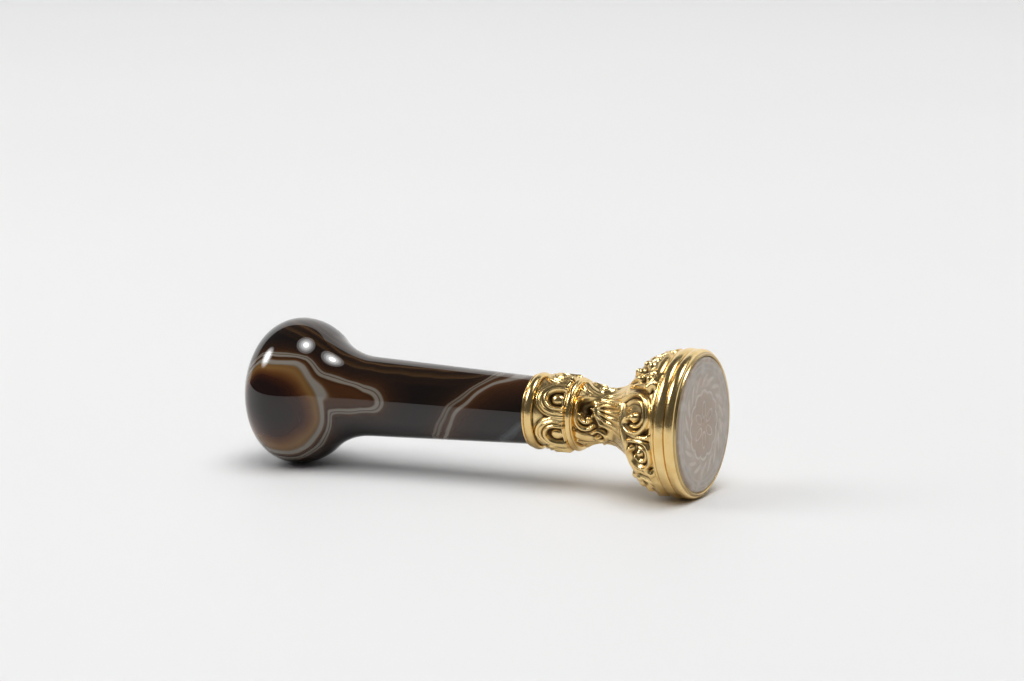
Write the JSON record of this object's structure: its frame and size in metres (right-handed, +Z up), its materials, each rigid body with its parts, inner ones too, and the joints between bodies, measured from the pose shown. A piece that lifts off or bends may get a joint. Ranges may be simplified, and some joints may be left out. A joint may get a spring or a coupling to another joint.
{
  "type": "wax seal stamp",
  "caption": "Desk wax seal: a turned, polished banded agate knob and shank cemented into a chased gilt mount that holds a flat round chalcedony matrix for pressing into sealing wax.",
  "frame": {"origin": "on the surface that the seal lies on, under the middle of its box", "axes": "+X along the seal's axis from the knob to the engraved face, +Z up from the surface"},
  "size_m": [0.0848, 0.0254, 0.0254],
  "materials": {
    "agate": "polished",
    "gilt": "polished gilding",
    "chalcedony": "polished",
    "iron": "plain",
    "shellac": "plain",
    "pitch": "plain"
  },
  "bodies": {
    "root": {"agate_handle": "agate", "handle_cement": "shellac", "mouth_ring": "gilt", "scroll_drum": "gilt", "stem_band": "gilt", "leaf_stem": "gilt", "scroll_bell": "gilt", "tie_rod": "iron", "tie_washer": "iron", "tie_nut": "iron", "pitch_fill": "pitch", "foot_ring": "gilt", "backing_plate": "gilt", "bezel": "gilt", "stone_cement": "shellac", "seal_stone": "chalcedony"}
  },
  "joints": []
}
